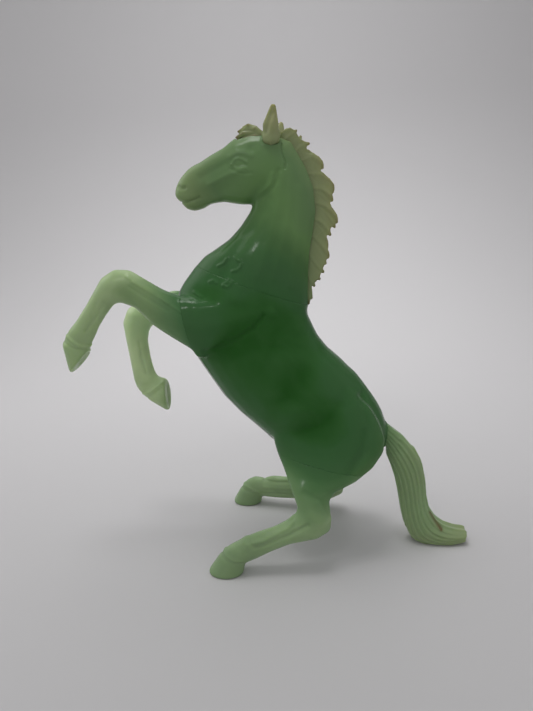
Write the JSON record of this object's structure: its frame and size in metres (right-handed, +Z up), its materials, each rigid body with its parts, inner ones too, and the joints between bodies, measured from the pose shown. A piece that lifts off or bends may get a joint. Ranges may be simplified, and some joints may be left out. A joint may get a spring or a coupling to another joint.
{
  "type": "figurine",
  "caption": "Rearing horse figurine in translucent jade-green resin, standing on its hind hooves and its tail, for display on a shelf.",
  "frame": {"origin": "on the standing surface, under the middle of the horse's box", "axes": "+Z up; the horse faces -X, its tail is towards +X, its left (near) side is -Y"},
  "size_m": [0.1407, 0.059, 0.1515],
  "materials": {
    "body_resin": "deep translucent green cast resin, polished",
    "leg_resin": "pale translucent green cast resin, satin gloss",
    "hair_resin": "thin yellow-olive translucent cast resin, satin gloss",
    "dowel_resin": "green cast resin rod, matt"
  },
  "bodies": {
    "root": {"torso": "body_resin", "head_and_neck": "body_resin", "near_ear": "hair_resin", "far_ear": "hair_resin", "forelock": "hair_resin", "mane": "hair_resin", "near_foreleg": "leg_resin", "far_foreleg": "leg_resin", "near_hind_leg": "leg_resin", "far_hind_leg": "leg_resin", "tail": "leg_resin", "neck_dowel": "dowel_resin", "near_foreleg_dowel": "dowel_resin", "far_foreleg_dowel": "dowel_resin", "near_hind_dowel": "dowel_resin", "far_hind_dowel": "dowel_resin", "tail_dowel": "dowel_resin"}
  },
  "joints": []
}
